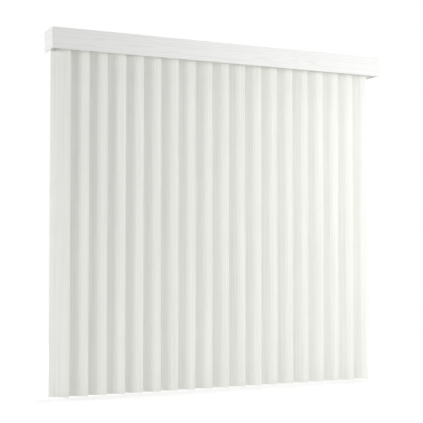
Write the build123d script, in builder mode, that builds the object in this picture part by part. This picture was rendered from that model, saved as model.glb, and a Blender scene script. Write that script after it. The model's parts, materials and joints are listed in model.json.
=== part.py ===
"""Vertical blind: crowned vanes hung from carriers in a ceiling-fixed head rail, behind a boxed valance."""

import os
from math import ceil, cos, radians, sin

from build123d import *

os.makedirs("parts", exist_ok=True)

# Driving dimensions, in millimetres and degrees. X runs along the rail, the room is on the -Y side,
# the wall on the +Y side, and Z = 0 is the ceiling that the brackets are screwed to.

# Vanes
vane_count = 19
vane_width = 89.0
vane_overlap = 5.0
vane_length = 1532.0
vane_thickness = 0.8
vane_crown = 4.0
vane_tilt = 30.0
vane_slot_width = 13.0
vane_slot_height = 4.0
vane_slot_inset = 7.0

# Room round the vanes as they turn
front_room = 9.5
wall_room = 16.5
left_room = 2.5
right_room = 34.5

# Valance boards
valance_height = 92.0
valance_thickness = 7.0
valance_edge_radius = 2.0
valance_ceiling_gap = 2.0

# Head rail
rail_width = 40.0
rail_height = 28.0
rail_wall = 1.5
rail_slot = 15.0
rail_flange = 2.0
rail_corner_radius = 2.0
track_ridge_width = 1.2
track_ridge_height = 1.5

# Ceiling brackets
bracket_thickness = 1.2
bracket_width = 25.0
bracket_bend_radius = 1.0
bracket_head_room = 2.2
bracket_side_fit = 0.2
bracket_hook_gap = 0.4
bracket_inset = 150.0
screw_hole_radius = 2.5

# End caps
cap_thickness = 3.0
cap_corner = 3.0
cap_plug_length = 12.0
cap_plug_fit = 0.15
cap_plug_wall = 2.0
cap_boss_radius = 5.5
cap_bore_floor = 2.0
cap_end_gap = 1.0

# Tilt rod
rod_radius = 3.0
rod_groove = 0.9
rod_groove_count = 3
rod_drop = 16.6
rod_end_play = 0.3

# Carriers
carrier_length = 14.5
carrier_width = 16.0
carrier_top_gap = 1.6
carrier_shoulder = 2.0
carrier_ridge_gap = 0.4
runner_width = 7.3
runner_height = 5.0
runner_gap = 0.25
neck_width = 10.0
neck_drop = 2.0
rod_room = 0.5
stack_gap = 1.5

# Spacer strips
spacer_width = 10.0
spacer_thickness = 0.5
spacer_step = 0.9
spacer_slot_room = 0.4
spacer_slot_roof = 2.5
spacer_tail = 2.0

# Carrier hooks
stem_radius = 3.0
stem_length = 6.5
bore_clearance = 0.05
bore_end_gap = 0.5
seat_gap = 0.3
hook_width = 8.0
hook_shank = 8.0
prong_thickness = 1.95
prong_gap = 1.5
prong_tip = 3.5
prong_lead = 2.0
prong_point_share = 0.3
barb_height = 2.6
barb_gap = 0.3
vane_top_gap = 1.0
vane_seat_gap = 0.2

# Lead carrier's arm and the wand hook
arm_reach = 56.0
arm_height = 9.4
hook_pin_radius = 2.0
hook_pin_inset = 6.0
hook_eye_radius = 4.5
hook_eye_hole_radius = 2.2
hook_plate = 2.6
hook_neck = 4.0
hook_corner = 2.0

# Valance clips and corner pieces
clip_width = 20.0
clip_thickness = 1.6
clip_lip = 8.0
clip_tab = 40.0
clip_offset = 40.0
clip_rib = 2.0
clip_rib_leg = 18.0
corner_leg = 25.0
corner_thickness = 2.0
corner_height = 60.0

overrun = 5.0

# Places worked out from the sizes above
tilt = radians(vane_tilt)
chord_direction = (cos(tilt), -sin(tilt), 0)
back_direction = (sin(tilt), cos(tilt), 0)
front_direction = (-sin(tilt), -cos(tilt), 0)

reach = vane_width / 2
vane_pitch = vane_width - vane_overlap
valance_back_y = -(reach + front_room)
valance_face_y = valance_back_y - valance_thickness
wall_y = reach + wall_room
pivot_run = (vane_count - 1) * vane_pitch
inner_length = reach + left_room + pivot_run + right_room + reach
valance_length = inner_length + 2 * valance_thickness
first_pivot_x = left_room + reach - inner_length / 2
valance_top = -valance_ceiling_gap
valance_bottom = valance_top - valance_height

rail_length = inner_length - 2 * (cap_end_gap + cap_thickness)
rail_top = -(bracket_thickness + bracket_head_room)
rail_roof = rail_top - rail_wall
rail_bottom = rail_top - rail_height
track = rail_bottom + rail_wall
ridge_top = track + track_ridge_height
rail_inner_width = rail_width - 2 * rail_wall
flange_half = rail_width / 2 + rail_flange

rod_z = rail_top - rod_drop
neck_bottom = rail_bottom - neck_drop
neck_half = neck_width / 2
carrier_half = carrier_width / 2
carrier_bottom = ridge_top + carrier_ridge_gap
carrier_top = rail_roof - carrier_top_gap
runner_inner = rail_slot / 2 + track_ridge_width + carrier_ridge_gap
runner_bottom = track + runner_gap
runner_top = runner_bottom + runner_height
bore_depth = stem_length + seat_gap + bore_end_gap

stack_pitch = carrier_length + stack_gap
spacer_reach = vane_pitch + carrier_length / 2 + spacer_tail
spacer_levels = ceil((spacer_reach + carrier_length / 2) / stack_pitch)
spacer_slot_width = spacer_width + 2 * spacer_slot_room
spacer_slot_height = spacer_levels * spacer_step + spacer_slot_room
spacer_slot_top = carrier_top - spacer_slot_roof
spacer_slot_bottom = spacer_slot_top - spacer_slot_height

shank_top = neck_bottom - seat_gap
crotch = shank_top - hook_shank
vane_top = crotch - vane_top_gap
vane_slot_top = vane_top - vane_slot_inset
barb_top = vane_slot_top - vane_seat_gap
barb_bottom = barb_top - barb_height
hook_tip = barb_bottom - prong_tip
prong_inner = prong_gap / 2
prong_outer = prong_inner + prong_thickness
prong_point = prong_inner + prong_point_share * prong_thickness

bracket_places = (bracket_inset - rail_length / 2, 0, rail_length / 2 - bracket_inset)
side_names = ((-1, "left"), (1, "right"))
place_names = ("left", "centre", "right")


def pivot_x(index):
    """Where a vane turns, along the rail."""
    return first_pivot_x + index * vane_pitch


# Head rail: an extruded channel with a slot below, a track on each side of it and flanges above
with BuildPart() as headrail:
    with BuildSketch(Plane.YZ.offset(-rail_length / 2)) as rail_section:
        with Locations((0, rail_top - rail_height / 2)):
            Rectangle(rail_width, rail_height)
        fillet(rail_section.vertices().group_by(Axis.Y)[0], rail_corner_radius)
        with Locations((0, rail_top - rail_height / 2)):
            Rectangle(rail_inner_width, rail_height - 2 * rail_wall, mode=Mode.SUBTRACT)
        with Locations((0, rail_top - rail_wall / 2)):
            Rectangle(2 * flange_half, rail_wall)
        with Locations((0, (rail_bottom + ridge_top) / 2)):
            Rectangle(rail_slot + 2 * track_ridge_width, ridge_top - rail_bottom)
            Rectangle(rail_slot, ridge_top - rail_bottom + overrun, mode=Mode.SUBTRACT)
    extrude(amount=rail_length)
headrail.part.label = "headrail"
export_step(headrail.part, "parts/headrail.step")

# Tilt rod: a round bar with grooves along it, its ends turning in the end caps
rod_length = rail_length + 2 * (cap_thickness - cap_bore_floor - rod_end_play)
with BuildPart() as tilt_rod:
    with BuildSketch(Plane.YZ.offset(-rod_length / 2)):
        with Locations((0, rod_z)):
            Circle(rod_radius)
            with PolarLocations(rod_radius, rod_groove_count):
                RegularPolygon(rod_groove, 4, mode=Mode.SUBTRACT)
    extrude(amount=rod_length)
tilt_rod.part.label = "tilt_rod"
export_step(tilt_rod.part, "parts/tilt_rod.step")

# End caps: a plate over the rail's end, a hollow plug inside it and a six-sided boss and bore for the rod
plug_width = rail_inner_width - 2 * cap_plug_fit
plug_top = rail_roof - cap_plug_fit
plug_bottom = ridge_top + cap_plug_fit
for side, side_name in side_names:
    plate_plane = Plane(origin=(side * rail_length / 2, 0, 0), x_dir=(0, side, 0), z_dir=(side, 0, 0))
    with BuildPart() as end_cap:
        with BuildSketch(plate_plane) as plate_outline:
            with Locations((0, rail_top - rail_height / 2)):
                Rectangle(2 * flange_half, rail_height)
            chamfer(plate_outline.vertices(), cap_corner)
        extrude(amount=cap_thickness)
        with BuildSketch(plate_plane):
            with Locations((0, (plug_top + plug_bottom) / 2)):
                Rectangle(plug_width, plug_top - plug_bottom)
                Rectangle(
                    plug_width - 2 * cap_plug_wall,
                    plug_top - plug_bottom - 2 * cap_plug_wall,
                    mode=Mode.SUBTRACT,
                )
            with Locations((0, rod_z)):
                RegularPolygon(cap_boss_radius, 6, major_radius=False)
        extrude(amount=-cap_plug_length)
        with BuildSketch(plate_plane.offset(-cap_plug_length)):
            with Locations((0, rod_z)):
                RegularPolygon(rod_radius + bore_clearance, 6, major_radius=False)
        extrude(amount=cap_plug_length + cap_thickness - cap_bore_floor, mode=Mode.SUBTRACT)
    end_cap.part.label = "end_cap_" + side_name
    export_step(end_cap.part, "parts/end_cap_" + side_name + ".step")

# Ceiling brackets: a bent steel strip that grips the rail's flanges, with a screw hole
bracket_inner = flange_half + bracket_side_fit
bracket_outer = bracket_inner + bracket_thickness
hook_in = rail_width / 2 + bracket_hook_gap
for place, place_name in zip(bracket_places, place_names):
    with BuildPart() as bracket:
        with BuildSketch(Plane.YZ.offset(place - bracket_width / 2)) as strip:
            with BuildLine():
                Polyline(
                    (0, 0),
                    (bracket_outer, 0),
                    (bracket_outer, rail_roof - bracket_thickness),
                    (hook_in, rail_roof - bracket_thickness),
                    (hook_in, rail_roof),
                    (bracket_inner, rail_roof),
                    (bracket_inner, -bracket_thickness),
                    (0, -bracket_thickness),
                )
                mirror(about=Plane.YZ)
            make_face()
            ends = strip.vertices().group_by(Axis.X)
            upper_bends = [end.sort_by(Axis.Y)[-1] for end in (ends[0], ends[-1])]
            fillet(upper_bends, bracket_bend_radius)
        extrude(amount=bracket_width)
        with Locations((place, 0, 0)):
            Hole(screw_hole_radius, depth=bracket_thickness)
    bracket.part.label = "bracket_" + place_name
    export_step(bracket.part, "parts/bracket_" + place_name + ".step")

# Valance front: a board mitred at both ends, its long outer edges rounded
with BuildPart() as valance_front:
    with BuildSketch(Plane.XY.offset(valance_bottom)):
        with BuildLine():
            Polyline(
                (0, valance_face_y),
                (valance_length / 2, valance_face_y),
                (inner_length / 2, valance_back_y),
                (0, valance_back_y),
            )
            mirror(about=Plane.YZ)
        make_face()
    extrude(amount=valance_height)
    fillet(valance_front.edges().filter_by(Axis.X).group_by(Axis.Y)[0], valance_edge_radius)
valance_front.part.label = "valance_front"
export_step(valance_front.part, "parts/valance_front.step")

# Valance returns: boards that run back to the wall from the mitred corners
for side, side_name in side_names:
    with BuildPart() as valance_return:
        with BuildSketch(Plane.XY.offset(valance_bottom)):
            with BuildLine():
                Polyline(
                    (side * valance_length / 2, valance_face_y),
                    (side * inner_length / 2, valance_back_y),
                    (side * inner_length / 2, wall_y),
                    (side * valance_length / 2, wall_y),
                    close=True,
                )
            make_face()
        extrude(amount=valance_height)
        outer_edges = valance_return.edges().filter_by(Axis.Y).sort_by(Axis.X)
        fillet(outer_edges[:2] if side < 0 else outer_edges[-2:], valance_edge_radius)
    valance_return.part.label = "valance_return_" + side_name
    export_step(valance_return.part, "parts/valance_return_" + side_name + ".step")

# Valance corner pieces: angles against the inner faces of the front board and a return
corner_bottom = (valance_top + valance_bottom - corner_height) / 2
for side, side_name in side_names:
    corner_x = side * inner_length / 2
    with BuildPart() as corner:
        with BuildSketch(Plane.XY.offset(corner_bottom)):
            with BuildLine():
                Polyline(
                    (corner_x, valance_back_y),
                    (corner_x, valance_back_y + corner_leg),
                    (corner_x - side * corner_thickness, valance_back_y + corner_leg),
                    (corner_x - side * corner_thickness, valance_back_y + corner_thickness),
                    (corner_x - side * corner_leg, valance_back_y + corner_thickness),
                    (corner_x - side * corner_leg, valance_back_y),
                    close=True,
                )
            make_face()
        extrude(amount=corner_height)
    corner.part.label = "valance_corner_" + side_name
    export_step(corner.part, "parts/valance_corner_" + side_name + ".step")

# Valance clips: a jaw on the rail's front flange, an arm, a tab on the board's back and a rib
clip_top = rail_top + clip_thickness
clip_jaw = -(flange_half + bracket_side_fit)
tab_back = valance_back_y + clip_thickness
for place, place_name in zip(bracket_places, place_names):
    clip_x = place + clip_offset
    with BuildPart() as clip:
        with BuildSketch(Plane.YZ.offset(clip_x - clip_width / 2)):
            with BuildLine():
                Polyline(
                    (clip_lip - flange_half, clip_top),
                    (clip_lip - flange_half, rail_top),
                    (clip_jaw, rail_top),
                    (clip_jaw, rail_roof),
                    (-hook_in, rail_roof),
                    (-hook_in, rail_roof - clip_thickness),
                    (clip_jaw - clip_thickness, rail_roof - clip_thickness),
                    (clip_jaw - clip_thickness, rail_top),
                    (tab_back, rail_top),
                    (tab_back, clip_top - clip_tab),
                    (valance_back_y, clip_top - clip_tab),
                    (valance_back_y, clip_top),
                    close=True,
                )
            make_face()
        extrude(amount=clip_width)
        with BuildSketch(Plane.YZ.offset(clip_x - clip_rib / 2)):
            with BuildLine():
                Polyline(
                    (tab_back, rail_top),
                    (tab_back + clip_rib_leg, rail_top),
                    (tab_back, rail_top - clip_rib_leg),
                    close=True,
                )
            make_face()
        extrude(amount=clip_rib)
    clip.part.label = "valance_clip_" + place_name
    export_step(clip.part, "parts/valance_clip_" + place_name + ".step")

# Carriers: trucks on runners, with a passage for the rod, a slot for the spacer strips and a bore below
for index in range(vane_count):
    x = pivot_x(index)
    is_lead = index == vane_count - 1
    end_plane = Plane.YZ.offset(x - carrier_length / 2)
    with BuildPart() as carrier:
        with BuildSketch(end_plane):
            with BuildLine():
                Polyline(
                    (0, neck_bottom),
                    (neck_half, neck_bottom),
                    (neck_half, carrier_bottom),
                    (runner_inner, carrier_bottom),
                    (runner_inner, runner_bottom),
                    (runner_inner + runner_width, runner_bottom),
                    (runner_inner + runner_width, runner_top),
                    (carrier_half, runner_top),
                    (carrier_half, carrier_top - carrier_shoulder),
                    (carrier_half - carrier_shoulder, carrier_top),
                    (0, carrier_top),
                )
                mirror(about=Plane.YZ)
            make_face()
        extrude(amount=carrier_length)
        if is_lead:
            with BuildSketch(end_plane):
                with Locations((0, neck_bottom + arm_height / 2)):
                    Rectangle(neck_width, arm_height)
            extrude(amount=carrier_length / 2 + arm_reach)
        with BuildSketch(end_plane):
            with Locations((0, rod_z)):
                RegularPolygon(rod_radius + rod_room, 6, major_radius=False)
            with Locations((0, (spacer_slot_top + spacer_slot_bottom) / 2)):
                Rectangle(spacer_slot_width, spacer_slot_height)
        extrude(amount=carrier_length, mode=Mode.SUBTRACT)
        with BuildSketch(Plane.XY.offset(neck_bottom)):
            with Locations((x, 0)):
                RegularPolygon(stem_radius + bore_clearance, 6, major_radius=False)
            if is_lead:
                with Locations((x + arm_reach - hook_pin_inset, 0)):
                    RegularPolygon(hook_pin_radius + bore_clearance, 6, major_radius=False)
        extrude(amount=bore_depth, mode=Mode.SUBTRACT)
        if not is_lead:
            level = spacer_slot_bottom + spacer_slot_room + (index % spacer_levels) * spacer_step
            with BuildSketch(Plane.XY.offset(level)):
                with Locations((x + spacer_reach / 2, 0)):
                    Rectangle(spacer_reach, spacer_width)
                with Locations((x, 0)):
                    Rectangle(carrier_length, (spacer_slot_width + carrier_width) / 2)
            extrude(amount=spacer_thickness)
    carrier_name = f"carrier_{index + 1:02d}"
    carrier.part.label = carrier_name
    export_step(carrier.part, "parts/" + carrier_name + ".step")

# Wand hook: a pin in the lead carrier's arm with a flat, pierced tab below
hook_x = pivot_x(vane_count - 1) + arm_reach - hook_pin_inset
eye_z = shank_top - hook_neck - hook_eye_radius
with BuildPart() as wand_hook:
    with BuildSketch(Plane.XY.offset(shank_top)):
        with Locations((hook_x, 0)):
            Circle(hook_pin_radius)
    extrude(amount=stem_length)
    with BuildSketch(Plane.XZ) as hook_outline:
        with Locations((hook_x, (shank_top + eye_z) / 2)):
            Rectangle(2 * hook_pin_radius, shank_top - eye_z)
        with Locations((hook_x, eye_z)):
            Rectangle(2 * hook_eye_radius, 2 * hook_eye_radius)
            chamfer(hook_outline.vertices().group_by(Axis.Y)[0], hook_corner)
            Circle(hook_eye_hole_radius, mode=Mode.SUBTRACT)
    extrude(amount=hook_plate / 2, both=True)
wand_hook.part.label = "wand_hook"
export_step(wand_hook.part, "parts/wand_hook.step")

# Vanes: a crowned strip with a punched slot, hung on the barb of its carrier hook
for index in range(vane_count):
    x = pivot_x(index)
    plan = Plane(origin=(x, 0, vane_top), x_dir=chord_direction, z_dir=(0, 0, 1))
    face = Plane(origin=(x, 0, 0), x_dir=chord_direction, z_dir=front_direction)
    side = Plane(origin=(x, 0, 0), x_dir=back_direction, z_dir=chord_direction)
    with BuildPart() as vane:
        with BuildSketch(plan):
            with BuildLine():
                front_arc = ThreePointArc(
                    (-reach, vane_crown - vane_thickness / 2),
                    (0, -vane_thickness / 2),
                    (reach, vane_crown - vane_thickness / 2),
                )
                back_arc = ThreePointArc(
                    (-reach, vane_crown + vane_thickness / 2),
                    (0, vane_thickness / 2),
                    (reach, vane_crown + vane_thickness / 2),
                )
                Line(front_arc @ 0, back_arc @ 0)
                Line(front_arc @ 1, back_arc @ 1)
            make_face()
        extrude(amount=-vane_length)
        with BuildSketch(face):
            with Locations((0, vane_slot_top - vane_slot_height / 2)):
                Rectangle(vane_slot_width, vane_slot_height)
        extrude(amount=overrun, both=True, mode=Mode.SUBTRACT)
        with BuildSketch(side):
            with BuildLine():
                Polyline(
                    (-prong_outer, shank_top),
                    (prong_outer, shank_top),
                    (prong_outer, hook_tip),
                    (prong_point, hook_tip),
                    (prong_inner, hook_tip + prong_lead),
                    (prong_inner, crotch),
                    (-prong_inner, crotch),
                    (-prong_inner, barb_top),
                    (prong_inner - barb_gap, barb_top),
                    (-prong_inner, barb_bottom),
                    (-prong_inner, hook_tip + prong_lead),
                    (-prong_point, hook_tip),
                    (-prong_outer, hook_tip),
                    close=True,
                )
            make_face()
        extrude(amount=hook_width / 2, both=True)
        with BuildSketch(plan.offset(shank_top - vane_top)):
            Circle(stem_radius)
        extrude(amount=stem_length)
    vane_name = f"vane_{index + 1:02d}"
    vane.part.label = vane_name
    export_step(vane.part, "parts/" + vane_name + ".step")
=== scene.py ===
"""Vertical blind: embossed vanes, grained valance and rail fittings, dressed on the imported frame."""

import json
import math

import bmesh
import bpy
import numpy as np
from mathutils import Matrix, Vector


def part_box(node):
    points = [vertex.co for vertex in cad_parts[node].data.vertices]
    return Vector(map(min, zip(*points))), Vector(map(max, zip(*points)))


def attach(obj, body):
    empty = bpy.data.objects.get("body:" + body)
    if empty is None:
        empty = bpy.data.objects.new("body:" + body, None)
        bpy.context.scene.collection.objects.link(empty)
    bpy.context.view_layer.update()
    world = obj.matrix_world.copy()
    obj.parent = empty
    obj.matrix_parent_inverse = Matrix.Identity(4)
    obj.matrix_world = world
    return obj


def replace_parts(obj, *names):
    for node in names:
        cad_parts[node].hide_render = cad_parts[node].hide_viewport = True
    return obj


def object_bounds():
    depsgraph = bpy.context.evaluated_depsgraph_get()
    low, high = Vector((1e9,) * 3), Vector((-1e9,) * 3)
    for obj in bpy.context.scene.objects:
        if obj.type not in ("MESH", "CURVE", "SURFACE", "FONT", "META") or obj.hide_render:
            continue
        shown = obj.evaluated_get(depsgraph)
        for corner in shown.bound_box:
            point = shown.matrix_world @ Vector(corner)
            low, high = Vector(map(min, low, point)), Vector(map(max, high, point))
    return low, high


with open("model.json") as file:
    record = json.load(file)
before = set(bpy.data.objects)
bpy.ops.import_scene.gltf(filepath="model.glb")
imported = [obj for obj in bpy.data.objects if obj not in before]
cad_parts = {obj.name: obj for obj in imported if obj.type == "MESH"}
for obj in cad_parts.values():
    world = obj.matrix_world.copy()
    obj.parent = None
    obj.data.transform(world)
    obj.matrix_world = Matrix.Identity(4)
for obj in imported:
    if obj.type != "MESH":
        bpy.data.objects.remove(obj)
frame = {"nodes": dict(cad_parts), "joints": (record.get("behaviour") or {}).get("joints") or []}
cad_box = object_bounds()

MM = 0.001
WHITE = "#FFFFFF"

# Where the fittings sit along the rail
RAIL_ENDS = ("left", "right")
CLIP_PLACES = ("left", "centre", "right")

# Vanes: the sheet's own size, and the slot that its hook's barb holds
VANE_COUNT = 19
VANE_TILT = math.radians(30)
VANE_WIDTH = 89 * MM
VANE_LENGTH = 1532 * MM
VANE_CROWN = 4 * MM
SHEET_THICKNESS = 0.36 * MM
SHEET_SHARP_ANGLE = math.radians(60)
SLOT_WIDTH = 13 * MM
SLOT_HEIGHT = 4 * MM
SLOT_INSET = 7 * MM

# Embossing across a vane: furrows, each with a ridge on its right side; heights are shares of the relief
EMBOSSING_SEED = 19
FURROW_COUNT = 9
RELIEF = 0.36 * MM
FURROW_OFFSETS = (-1.4 * MM, -0.2 * MM, 0.45 * MM, 1.6 * MM)
FURROW_HEIGHTS = (-0.1, -1.0, 0.7, 0.5)
PLATEAU_HEIGHT = -0.1
EDGE_HEIGHTS = (0.6, -1.0)

# Embossing down a vane: how far and how fast the furrows sway, stray and fade, with lags in radians
UNEVEN = 1.4 * MM
WANDER = 3.5 * MM
WANDER_LENGTH = 110 * MM
WANDER_LAG = 0.8
SWELL_LENGTH = 583 * MM
SWELL_LAG = 0.5
SWELL_MIDDLE = 0.6
SWELL_SWING = 0.4
STRAY = 0.4 * MM
STRAY_LENGTH = 41 * MM
FADE_LENGTH = 170 * MM
FADE_MIDDLE = 0.62
FADE_SWING = 0.38
EDGE_HOLD = 0.35
STRAIGHT_TOP = 25 * MM
ROW_STEP = 11 * MM

# Carrier hooks, from the stem's top down
STEM_RADIUS = 3 * MM
STEM_LENGTH = 6.5 * MM
STEM_SIDES = 28
SHANK_LENGTH = 8 * MM
VANE_TOP_GAP = 1 * MM
HOOK_WIDTH = 8 * MM
PRONG_INNER = 0.75 * MM
PRONG_OUTER = 2.7 * MM
PRONG_POINT = 1.3 * MM
PRONG_LEAD = 2 * MM
PRONG_TIP = 3.5 * MM
BARB_SEAT = 0.2 * MM
BARB_HEIGHT = 2.6 * MM
BARB_GAP = 0.3 * MM
HOOK_EDGE = 0.25 * MM
HOOK_EDGE_STEPS = 2
HOOK_SHARP_ANGLE = math.radians(40)

# Wood grain of the valance: arched lines along an axis below the board's middle; shifts count in lines
GRAIN_AXIS_DROP = 8 * MM
ARCH_ROUNDING = 9 * MM
LINE_PITCH = 13 * MM
FIGURE_PLACE = 300 * MM
FIGURE_REACH = 110 * MM
FIGURE_SHIFT = -1.5
WAVER_SPACING = (380 * MM, 380 * MM, 34 * MM)
WAVER_SHIFT = 2.6

# Where a line starts in its wave and a pore in its noise, and how much a pore counts against a line
LINE_START = 0.35
PORE_SPACING = (70 * MM, 70 * MM, 1.6 * MM)
PORE_START = 0.52
PORE_FULL = 0.66
PORE_SHARE = 0.6

# The range that most of a noise's values lie in
NOISE_LOW = 0.3
NOISE_HIGH = 0.7

# Photograph: where the camera stood, in metres, and how it was turned
CAMERA_PLACE = (-2.01, -4.178, -0.961)
CAMERA_TURN = math.radians(25.08)
CAMERA_LIFT = math.radians(2.34)
FOCAL_LENGTH_PX = 1008.4
IMAGE_PX = 423
SENSOR_WIDTH = 36

# Studio: the light all round, and a floor just under the vanes that glows more further out, in metres
AMBIENT = 0.3
FLOOR_GAP = 10 * MM
FLOOR_SIZE = 5
GLOW_START = 0.7
GLOW_END = 2.2
GLOW_NEAR = 0.3
GLOW_FAR = 0.72


def linear(hex_colour):
    """An sRGB hex colour as linear RGBA."""
    channels = [int(hex_colour[i:i + 2], 16) / 255 for i in (1, 3, 5)]
    return [c / 12.92 if c <= 0.04045 else ((c + 0.055) / 1.055) ** 2.4 for c in channels] + [1]


def add_node(tree, kind, inputs=None, **settings):
    """Adds a node with its settings; an input is a value, or the socket that feeds it."""
    made = tree.nodes.new(kind)
    for name, value in settings.items():
        setattr(made, name, value)
    for name, value in (inputs or {}).items():
        if isinstance(value, bpy.types.NodeSocket):
            tree.links.new(value, made.inputs[name])
        else:
            made.inputs[name].default_value = value
    return made


def start_material(name):
    """A new material with an empty node tree."""
    material = bpy.data.materials.new(name)
    material.use_nodes = True
    material.node_tree.nodes.clear()
    return material, material.node_tree


def streaks(tree, spacing, detail=3):
    """Noise whose grains are as long along X, Y and Z as the spacing says, in metres."""
    place = add_node(tree, "ShaderNodeTexCoord")
    grains = add_node(tree, "ShaderNodeVectorMath", {
        0: place.outputs["Object"], 1: spacing}, operation="DIVIDE")
    noise = add_node(tree, "ShaderNodeTexNoise", {
        "Vector": grains.outputs["Vector"], "Scale": 1, "Detail": detail, "Roughness": 0.6})
    return noise.outputs["Fac"]


def lay_surface(tree, shade, colours, gloss, roughness, relief, depth, strength=1, **plain):
    """Colours mixed by the shade, roughness spread by the gloss, and relief of that depth, in metres."""
    # The Mix node's colour sockets go by number, because its other sockets have the same names
    tint = add_node(tree, "ShaderNodeMix", {
        0: shade, 6: linear(colours[0]), 7: linear(colours[1])}, data_type="RGBA")
    spread = add_node(tree, "ShaderNodeMapRange", {
        "Value": gloss, "From Min": NOISE_LOW, "From Max": NOISE_HIGH,
        "To Min": roughness[0], "To Max": roughness[1]})
    pressed = add_node(tree, "ShaderNodeBump", {"Height": relief, "Distance": depth, "Strength": strength})
    shader = add_node(tree, "ShaderNodeBsdfPrincipled", {
        "Base Color": tint.outputs[2], "Roughness": spread.outputs["Result"],
        "Normal": pressed.outputs["Normal"], **plain})
    add_node(tree, "ShaderNodeOutputMaterial", {"Surface": shader.outputs["BSDF"]})


def streaked_finish(name, spacing, colours, roughness, depth, detail=3, **plain):
    """A material with one pattern of streaks in its colour, its gloss and its relief."""
    material, tree = start_material(name)
    pattern = streaks(tree, spacing, detail)
    shade = add_node(tree, "ShaderNodeMapRange", {
        "Value": pattern, "From Min": NOISE_LOW, "From Max": NOISE_HIGH, "To Min": 0, "To Max": 1})
    lay_surface(tree, shade.outputs["Result"], colours, pattern, roughness, pattern, depth, **plain)
    return material


def embossed_pvc():
    """Extruded PVC sheet, pressed by an embossing roller."""
    # A satin white with soft drawn lines down its length, drawn coarser than the real ones so that they
    # show; the lines' darker colour is partly the sheet's own tone and partly painted shade of the embossing
    return streaked_finish(
        "embossed_pvc",
        spacing=(7 * MM, 7 * MM, 600 * MM),
        colours=("#EFF0EB", "#F8F9F4"),
        roughness=(0.42, 0.54),
        depth=0.8 * MM,
        IOR=1.53,
    )


def grained_board():
    """Foamed PVC board under a white film that is pressed with wood grain."""
    # Arched grain lines and short pores, faintly darker; the pores are drawn coarser than real ones, to show
    material, tree = start_material("grained_pvc_board")
    place = add_node(tree, "ShaderNodeTexCoord")
    axes = add_node(tree, "ShaderNodeSeparateXYZ", {"Vector": place.outputs["Object"]})
    along = add_node(tree, "ShaderNodeMath", {0: axes.outputs["X"], 1: axes.outputs["Y"]}, operation="ADD")

    # Lines run at even distances from the axis, rounded near it so that they can close as arches
    low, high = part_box("valance_front")
    axis_height = (low.z + high.z) / 2 - GRAIN_AXIS_DROP
    across = add_node(tree, "ShaderNodeMath", {0: axes.outputs["Z"], 1: axis_height}, operation="SUBTRACT")
    square = add_node(tree, "ShaderNodeMath", {0: across.outputs[0], 1: 2}, operation="POWER")
    rounded = add_node(tree, "ShaderNodeMath", {
        0: square.outputs[0], 1: ARCH_ROUNDING ** 2}, operation="ADD")
    distance = add_node(tree, "ShaderNodeMath", {0: rounded.outputs[0], 1: 0.5}, operation="POWER")
    even_lines = add_node(tree, "ShaderNodeMath", {
        0: distance.outputs[0], 1: LINE_PITCH}, operation="DIVIDE")

    # The figure moves the lines on from one side of its place to the other, and a waver bends them all
    from_figure = add_node(tree, "ShaderNodeMath", {
        0: along.outputs[0], 1: FIGURE_PLACE}, operation="SUBTRACT")
    reach = add_node(tree, "ShaderNodeMath", {
        0: from_figure.outputs[0], 1: FIGURE_REACH}, operation="DIVIDE")
    drift = add_node(tree, "ShaderNodeMath", {0: reach.outputs[0]}, operation="TANH")
    arched = add_node(tree, "ShaderNodeMath", {
        0: drift.outputs[0], 1: FIGURE_SHIFT, 2: even_lines.outputs[0]}, operation="MULTIPLY_ADD")
    wavered = add_node(tree, "ShaderNodeMath", {
        0: streaks(tree, WAVER_SPACING), 1: WAVER_SHIFT, 2: arched.outputs[0]}, operation="MULTIPLY_ADD")
    turns = add_node(tree, "ShaderNodeMath", {0: wavered.outputs[0], 1: math.tau}, operation="MULTIPLY")
    wave = add_node(tree, "ShaderNodeMath", {0: turns.outputs[0]}, operation="SINE")
    lines = add_node(tree, "ShaderNodeMapRange", {
        "Value": wave.outputs[0], "From Min": LINE_START, "From Max": 1, "To Min": 0, "To Max": 1})

    pore_noise = streaks(tree, PORE_SPACING, detail=2)
    pores = add_node(tree, "ShaderNodeMapRange", {
        "Value": pore_noise, "From Min": PORE_START, "From Max": PORE_FULL, "To Min": 0, "To Max": 1})
    grain = add_node(tree, "ShaderNodeMath", {
        0: pores.outputs[0], 1: PORE_SHARE, 2: lines.outputs[0]}, operation="MULTIPLY_ADD")
    pressed = add_node(tree, "ShaderNodeMath", {0: 1, 1: grain.outputs[0]}, operation="SUBTRACT")
    lay_surface(
        tree,
        shade=grain.outputs[0],
        colours=("#E9E9E7", "#E3E3E1"),
        gloss=pore_noise,
        roughness=(0.4, 0.52),
        relief=pressed.outputs[0],
        depth=0.08 * MM,
        strength=0.6,
        IOR=1.5,
    )
    return material


def powder_coat():
    """Extruded aluminium under baked white powder."""
    # An even, low gloss with a faint orange peel
    return streaked_finish(
        "powder_coated_aluminium",
        spacing=(1.6 * MM, 1.6 * MM, 1.6 * MM),
        colours=("#E8E8E6", "#ECECEA"),
        roughness=(0.3, 0.38),
        depth=0.03 * MM,
        detail=1,
        IOR=1.5,
    )


def mill_aluminium():
    """Extruded aluminium, left as it came from the die."""
    # A soft grey gloss with die lines along the bar
    return streaked_finish(
        "mill_finish_aluminium",
        spacing=(90 * MM, 0.5 * MM, 0.5 * MM),
        colours=("#C6C9CB", "#D2D5D7"),
        roughness=(0.26, 0.4),
        depth=0.02 * MM,
        Metallic=1,
    )


def zinc_plate():
    """Pressed steel strip with bright zinc plating."""
    # A cool metal with cloudy patches
    return streaked_finish(
        "zinc_plated_steel",
        spacing=(7 * MM, 7 * MM, 7 * MM),
        colours=("#AEB3B8", "#C4C8CC"),
        roughness=(0.28, 0.44),
        depth=0.02 * MM,
        detail=4,
        Metallic=1,
    )


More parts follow.
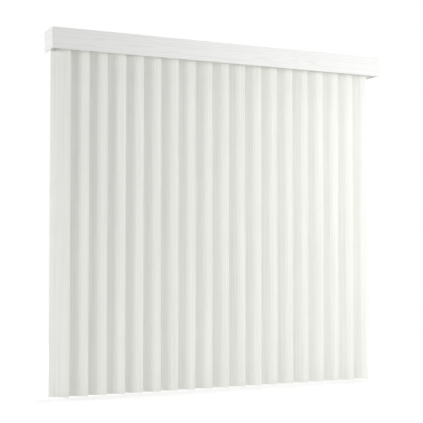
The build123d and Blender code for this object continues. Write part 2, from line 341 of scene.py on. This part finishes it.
def moulded_acetal():
    """Acetal, injection-moulded."""
    # A waxy, slightly warm white with faint flow marks
    return streaked_finish(
        "moulded_acetal",
        spacing=(5 * MM, 5 * MM, 2 * MM),
        colours=("#E9E7DF", "#EEECE5"),
        roughness=(0.3, 0.4),
        depth=0.02 * MM,
        detail=2,
        IOR=1.48,
    )


def moulded_abs():
    """ABS, injection-moulded in a spark-eroded tool."""
    # A matt white with a fine even texture, drawn coarser than the real one so that it shows
    return streaked_finish(
        "moulded_abs",
        spacing=(0.6 * MM, 0.6 * MM, 0.6 * MM),
        colours=("#EBEBE8", "#F0F0EE"),
        roughness=(0.44, 0.56),
        depth=0.03 * MM,
        detail=1,
        IOR=1.53,
    )


def dress(node_names, material):
    """Gives CAD nodes their finish."""
    for name in node_names:
        slots = frame["nodes"][name].data.materials
        slots.clear()
        slots.append(material)


def new_piece(name, mesh, material, body):
    """A mesh piece with its finish, riding on a body."""
    piece = bpy.data.objects.new(name, mesh)
    bpy.context.scene.collection.objects.link(piece)
    mesh.materials.append(material)
    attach(piece, body)
    return piece


def furrow_columns():
    """The embossing's columns across a vane: rest place, furrow, and height in shares of the relief."""
    pitch = VANE_WIDTH / FURROW_COUNT
    columns = [(-VANE_WIDTH / 2, None, EDGE_HEIGHTS[0])]
    for furrow in range(FURROW_COUNT):
        centre = (furrow + 0.5) * pitch - VANE_WIDTH / 2
        for offset, height in zip(FURROW_OFFSETS, FURROW_HEIGHTS):
            columns.append((centre + offset, furrow, height))
        if furrow < FURROW_COUNT - 1:
            plateau = centre + pitch / 2
            # The two plateaus beside the middle furrow start at the slot's ends
            if abs(plateau) < pitch:
                plateau = math.copysign(SLOT_WIDTH / 2, plateau)
            columns.append((plateau, None, PLATEAU_HEIGHT))
    columns.append((VANE_WIDTH / 2, None, EDGE_HEIGHTS[1]))
    return columns


def vane_rows():
    """Distances of the embossing's rows from the vane's top, with rows at the slot's edges."""
    head = [0, SLOT_INSET / 2, SLOT_INSET, SLOT_INSET + SLOT_HEIGHT, STRAIGHT_TOP]
    length = VANE_LENGTH - STRAIGHT_TOP
    count = round(length / ROW_STEP)
    return np.concatenate([head, STRAIGHT_TOP + length * np.arange(1, count + 1) / count])


def embossed_grid(chance):
    """One vane's rows, with the places across it and the relief heights of the points in each row."""
    rows = vane_rows()
    columns = furrow_columns()
    wander_phase, swell_phase = chance.uniform(0, math.tau, 2)
    uneven = chance.uniform(-UNEVEN, UNEVEN, FURROW_COUNT)
    stray_phase = chance.uniform(0, math.tau, FURROW_COUNT)
    fade_phase = chance.uniform(0, math.tau, FURROW_COUNT)
    hold = np.ones(FURROW_COUNT)
    hold[[0, -1]] = EDGE_HOLD
    loose = np.clip((rows - STRAIGHT_TOP) / STRAIGHT_TOP, 0, 1)
    turns = math.tau * rows
    wander = np.zeros((len(rows), FURROW_COUNT))
    depth = np.zeros((len(rows), FURROW_COUNT))
    for furrow in range(FURROW_COUNT):
        swell = np.sin(turns / SWELL_LENGTH + swell_phase + furrow * SWELL_LAG)
        sway = WANDER * np.sin(turns / WANDER_LENGTH + wander_phase + furrow * WANDER_LAG)
        sway *= SWELL_MIDDLE + SWELL_SWING * swell
        stray = STRAY * np.sin(turns / STRAY_LENGTH + stray_phase[furrow])
        wander[:, furrow] = hold[furrow] * loose * (uneven[furrow] + sway + stray)
        depth[:, furrow] = FADE_MIDDLE + FADE_SWING * np.sin(turns / FADE_LENGTH + fade_phase[furrow])
    across = np.zeros((len(rows), len(columns)))
    height = np.zeros((len(rows), len(columns)))
    for i, (rest, furrow, share) in enumerate(columns):
        across[:, i] = rest
        height[:, i] = RELIEF * share
        if furrow is not None:
            across[:, i] += wander[:, furrow]
            height[:, i] *= depth[:, furrow]

    # A plateau keeps to the middle between its furrows as they wander
    for i, (rest, furrow, _) in enumerate(columns):
        if furrow is None and 0 < i < len(columns) - 1:
            middle = (across[:, i - 1] + across[:, i + 1]) / 2
            across[:, i] += loose * (middle - rest)
    return rows, across, height


def sheet_points(rows, across, height, pivot, top):
    """Points of a vane's front and then its back, bent to the crown and turned by the tilt."""
    bend_radius = ((VANE_WIDTH / 2) ** 2 + VANE_CROWN ** 2) / (2 * VANE_CROWN)
    sine = across / bend_radius
    cosine = np.sqrt(1 - sine ** 2)
    bend_depth = bend_radius * (1 - cosine)
    z = np.broadcast_to((top - rows)[:, None], across.shape)
    faces = []
    for side in (-1, 1):
        offset = side * SHEET_THICKNESS / 2 - height
        chord = across - sine * offset
        back = bend_depth + cosine * offset
        x = pivot.x + chord * math.cos(VANE_TILT) + back * math.sin(VANE_TILT)
        y = pivot.y - chord * math.sin(VANE_TILT) + back * math.cos(VANE_TILT)
        faces.append(np.stack([x, y, z], axis=-1).reshape(-1, 3))
    return np.concatenate(faces)


def sheet_quads(rows, across):
    """Faces of a vane's front and back, and of the cut edges round its outline and its slot."""
    back_start = across.size
    index = np.arange(back_start).reshape(across.shape)
    whole = np.ones((across.shape[0] - 1, across.shape[1] - 1), bool)
    middles = (across[0, 1:] + across[0, :-1]) / 2
    slot_row = np.searchsorted(rows, SLOT_INSET + SLOT_HEIGHT / 2) - 1
    whole[slot_row, np.abs(middles) < SLOT_WIDTH / 2] = False
    a, b = index[:-1, :-1][whole], index[:-1, 1:][whole]
    c, d = index[1:, 1:][whole], index[1:, :-1][whole]
    faces = [np.stack([a, d, c, b], axis=1), np.stack([a, b, c, d], axis=1) + back_start]

    # A cut edge lies wherever a whole cell meets an empty one or the outside
    framed = np.pad(whole, 1).astype(int)
    for first, second, change in (
        (index[:, :-1], index[:, 1:], np.diff(framed, axis=0)[:, 1:-1]),
        (index[1:, :], index[:-1, :], np.diff(framed, axis=1)[1:-1, :]),
    ):
        for sign in (1, -1):
            edge = change == sign
            start, end = (first[edge], second[edge]) if sign > 0 else (second[edge], first[edge])
            faces.append(np.stack([start, end, end + back_start, start + back_start], axis=1))
    return np.concatenate(faces)


def vane_sheet(name, pivot, top, chance):
    """One vane: a crowned, embossed strip with its punched slot."""
    rows, across, height = embossed_grid(chance)
    points = sheet_points(rows, across, height, pivot, top)
    quads = sheet_quads(rows, across)
    mesh = bpy.data.meshes.new(name)
    mesh.vertices.add(len(points))
    mesh.vertices.foreach_set("co", points.ravel())
    mesh.loops.add(quads.size)
    mesh.loops.foreach_set("vertex_index", quads.ravel())
    mesh.polygons.add(len(quads))
    mesh.polygons.foreach_set("loop_start", np.arange(len(quads)) * 4)
    mesh.update(calc_edges=True)
    mesh.validate()
    mesh.shade_smooth()
    mesh.set_sharp_from_angle(angle=SHEET_SHARP_ANGLE)
    return mesh


def hook_outline(shank_top):
    """A hook's side view below its stem: the shank, two prongs, and the barb for a vane's slot."""
    crotch = shank_top - SHANK_LENGTH
    barb_top = crotch - VANE_TOP_GAP - SLOT_INSET - BARB_SEAT
    barb_bottom = barb_top - BARB_HEIGHT
    tip = barb_bottom - PRONG_TIP
    return (
        (-PRONG_OUTER, shank_top),
        (PRONG_OUTER, shank_top),
        (PRONG_OUTER, tip),
        (PRONG_POINT, tip),
        (PRONG_INNER, tip + PRONG_LEAD),
        (PRONG_INNER, crotch),
        (-PRONG_INNER, crotch),
        (-PRONG_INNER, barb_top),
        (PRONG_INNER - BARB_GAP, barb_top),
        (-PRONG_INNER, barb_bottom),
        (-PRONG_INNER, tip + PRONG_LEAD),
        (-PRONG_POINT, tip),
        (-PRONG_OUTER, tip),
    )


def carrier_hook(name, pivot, stem_top):
    """A carrier hook: a round stem over a flat shank and two prongs with rounded edges."""
    shank_top = stem_top - STEM_LENGTH
    outline = hook_outline(shank_top)
    chord = Vector((math.cos(VANE_TILT), -math.sin(VANE_TILT), 0))
    back = Vector((math.sin(VANE_TILT), math.cos(VANE_TILT), 0))
    base = Vector((pivot.x, pivot.y, 0))
    shape = bmesh.new()
    flanks = []
    for side in (-1, 1):
        middle = base + chord * side * HOOK_WIDTH / 2
        flanks.append([shape.verts.new(middle + back * depth + Vector((0, 0, z))) for depth, z in outline])
    shape.faces.new(flanks[0])
    shape.faces.new(list(reversed(flanks[1])))
    for i in range(len(outline)):
        j = (i + 1) % len(outline)
        shape.faces.new((flanks[0][j], flanks[0][i], flanks[1][i], flanks[1][j]))
    bmesh.ops.recalc_face_normals(shape, faces=shape.faces)
    bmesh.ops.bevel(
        shape,
        geom=list(shape.edges),
        offset=HOOK_EDGE,
        segments=HOOK_EDGE_STEPS,
        affect="EDGES",
        clamp_overlap=True,
    )

    angles = [math.tau * k / STEM_SIDES for k in range(STEM_SIDES)]
    rings = []
    for radius, z in (
        (STEM_RADIUS, shank_top - HOOK_EDGE),
        (STEM_RADIUS, stem_top - HOOK_EDGE),
        (STEM_RADIUS - HOOK_EDGE, stem_top),
    ):
        ring = [base + Vector((radius * math.cos(t), radius * math.sin(t), z)) for t in angles]
        rings.append([shape.verts.new(point) for point in ring])
    for low_ring, high_ring in zip(rings, rings[1:]):
        for k in range(STEM_SIDES):
            n = (k + 1) % STEM_SIDES
            shape.faces.new((low_ring[k], low_ring[n], high_ring[n], high_ring[k]))
    shape.faces.new(rings[-1])
    shape.faces.new(list(reversed(rings[0])))
    mesh = bpy.data.meshes.new(name)
    shape.to_mesh(mesh)
    shape.free()
    mesh.shade_smooth()
    mesh.set_sharp_from_angle(angle=HOOK_SHARP_ANGLE)
    return mesh


def hang_vanes(pvc, acetal):
    """Puts an embossed vane and its hook in the place of each CAD vane."""
    hinges = [joint for joint in frame["joints"] if joint["type"] == "hinge"]
    pivots = {joint["child"]: Vector(joint["pos_m"]) for joint in hinges}
    for number in range(1, VANE_COUNT + 1):
        node = f"vane_{number:02d}"
        chance = np.random.default_rng(EMBOSSING_SEED + number)
        low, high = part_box(node)
        sheet_mesh = vane_sheet(f"vane_sheet_{number:02d}", pivots[node], low.z + VANE_LENGTH, chance)
        hook_mesh = carrier_hook(f"vane_hook_{number:02d}", pivots[node], high.z)
        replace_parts(new_piece(sheet_mesh.name, sheet_mesh, pvc, node), node)
        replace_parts(new_piece(hook_mesh.name, hook_mesh, acetal, node), node)


def softbox(name, place, aim, size, power):
    """A soft studio lamp that faces a point and stays out of the picture itself."""
    lamp = bpy.data.lights.new(name, "AREA")
    lamp.shape = "RECTANGLE"
    lamp.size, lamp.size_y = size
    lamp.energy = power
    holder = bpy.data.objects.new(name, lamp)
    holder.visible_camera = False
    holder.location = place
    holder.rotation_euler = (Vector(aim) - Vector(place)).to_track_quat("-Z", "Y").to_euler()
    bpy.context.scene.collection.objects.link(holder)


def seen_directly(tree):
    """1 for rays that show the background itself, in the picture, in a gloss or through a clear piece."""
    path = add_node(tree, "ShaderNodeLightPath")
    camera_or_gloss = add_node(tree, "ShaderNodeMath", {
        0: path.outputs["Is Camera Ray"], 1: path.outputs["Is Glossy Ray"]}, operation="MAXIMUM")
    seen = add_node(tree, "ShaderNodeMath", {
        0: camera_or_gloss.outputs[0], 1: path.outputs["Is Transmission Ray"]}, operation="MAXIMUM")
    return seen.outputs[0]


def light_studio():
    """Soft light all round, with softboxes in front, at both sides, behind and above, on a white ground."""
    world = bpy.data.worlds.new("studio")
    bpy.context.scene.world = world
    world.use_nodes = True
    tree = world.node_tree
    tree.nodes.clear()
    ambient = add_node(tree, "ShaderNodeBackground", {"Color": linear(WHITE), "Strength": AMBIENT})
    ground = add_node(tree, "ShaderNodeBackground", {"Color": linear(WHITE), "Strength": 1})
    mixed = add_node(tree, "ShaderNodeMixShader", {
        0: seen_directly(tree), 1: ambient.outputs[0], 2: ground.outputs[0]})
    add_node(tree, "ShaderNodeOutputWorld", {"Surface": mixed.outputs[0]})

    # Places, aims and sizes in metres, powers in watts
    softbox("front_right_softbox", place=(2.2, -5.5, -0.3), aim=(0.2, 0, -0.7), size=(1.5, 1.5), power=76)
    softbox("front_top_softbox", place=(0.2, -1.2, 2.4), aim=(0.2, 0, -0.7), size=(2.2, 1.2), power=9.5)
    softbox("right_softbox", place=(1.2, -1.6, -0.2), aim=(0.6, 0, -0.4), size=(1.6, 1.6), power=12.3)
    softbox("right_far_softbox", place=(3.5, -3.0, -0.5), aim=(0.3, 0, -0.7), size=(1.5, 1.5), power=20)
    softbox("left_softbox", place=(-3.5, -1.2, -0.4), aim=(-0.8, 0, -0.6), size=(0.9, 1.4), power=15)
    softbox("left_far_softbox", place=(-6.0, -1.2, -0.6), aim=(0, 0, -0.7), size=(1, 1.6), power=34)
    softbox("left_rear_softbox", place=(-2.9, 1.2, -0.1), aim=(-0.8, 0, -0.1), size=(1.2, 1.2), power=27)
    softbox("rear_softbox", place=(3.0, 2.6, 0.6), aim=(0, 0, -0.7), size=(2, 2), power=63)
    softbox("top_softbox", place=(0, 0.04, 4.0), aim=(0, 0.04, 0), size=(1.6, 0.7), power=108)


def floor_paint():
    """Flat floor paint."""
    # A plain pale ground that shows white where nothing shades it, and is clear from underneath
    material, tree = start_material("white_floor")
    paint = add_node(tree, "ShaderNodeBsdfDiffuse", {"Color": linear("#DADAD9")})
    place = add_node(tree, "ShaderNodeTexCoord")
    reach = add_node(tree, "ShaderNodeVectorMath", {0: place.outputs["Object"]}, operation="LENGTH")
    lift = add_node(tree, "ShaderNodeMapRange", {
        "Value": reach.outputs["Value"], "From Min": GLOW_START, "From Max": GLOW_END,
        "To Min": GLOW_NEAR, "To Max": GLOW_FAR})
    glow = add_node(tree, "ShaderNodeEmission", {"Color": linear(WHITE), "Strength": lift.outputs["Result"]})
    lit = add_node(tree, "ShaderNodeAddShader", {0: paint.outputs[0], 1: glow.outputs[0]})
    mixed = add_node(tree, "ShaderNodeMixShader", {
        0: seen_directly(tree), 1: paint.outputs[0], 2: lit.outputs[0]})
    side = add_node(tree, "ShaderNodeNewGeometry")
    clear = add_node(tree, "ShaderNodeBsdfTransparent")
    one_sided = add_node(tree, "ShaderNodeMixShader", {
        0: side.outputs["Backfacing"], 1: mixed.outputs[0], 2: clear.outputs[0]})
    add_node(tree, "ShaderNodeOutputMaterial", {"Surface": one_sided.outputs[0]})
    return material


def lay_floor(height):
    """A square floor at that height, which takes the blind's shadow."""
    shape = bmesh.new()
    half = FLOOR_SIZE / 2
    corners = [(-half, -half), (half, -half), (half, half), (-half, half)]
    shape.faces.new([shape.verts.new((x, y, 0)) for x, y in corners])
    mesh = bpy.data.meshes.new("studio_floor")
    shape.to_mesh(mesh)
    shape.free()
    mesh.materials.append(floor_paint())
    floor = bpy.data.objects.new("studio_floor", mesh)
    floor.location.z = height
    bpy.context.scene.collection.objects.link(floor)


def set_camera():
    """The camera at the photograph's place, level across and turned towards the blind."""
    data = bpy.data.cameras.new("photo_camera")
    data.sensor_width = SENSOR_WIDTH
    data.lens = FOCAL_LENGTH_PX / IMAGE_PX * SENSOR_WIDTH
    camera = bpy.data.objects.new("photo_camera", data)
    camera.location = CAMERA_PLACE
    camera.rotation_euler = (math.pi / 2 + CAMERA_LIFT, 0, -CAMERA_TURN)
    bpy.context.scene.collection.objects.link(camera)
    bpy.context.scene.camera = camera


# Finishes for the nodes that stay as the CAD made them
acetal_finish = moulded_acetal()
abs_finish = moulded_abs()
dress(["valance_front"] + [f"valance_return_{end}" for end in RAIL_ENDS], grained_board())
dress(["headrail"], powder_coat())
dress(["tilt_rod"], mill_aluminium())
dress([f"bracket_{place}" for place in CLIP_PLACES], zinc_plate())
dress([f"end_cap_{end}" for end in RAIL_ENDS] + [f"valance_corner_{end}" for end in RAIL_ENDS], abs_finish)
dress([f"valance_clip_{place}" for place in CLIP_PLACES] + ["wand_hook"], abs_finish)
dress([f"carrier_{number:02d}" for number in range(1, VANE_COUNT + 1)], acetal_finish)

# The vanes, then the studio
hang_vanes(embossed_pvc(), acetal_finish)
light_studio()
lay_floor(cad_box[0].z - FLOOR_GAP)
set_camera()
bpy.context.scene.view_settings.view_transform = "Standard"
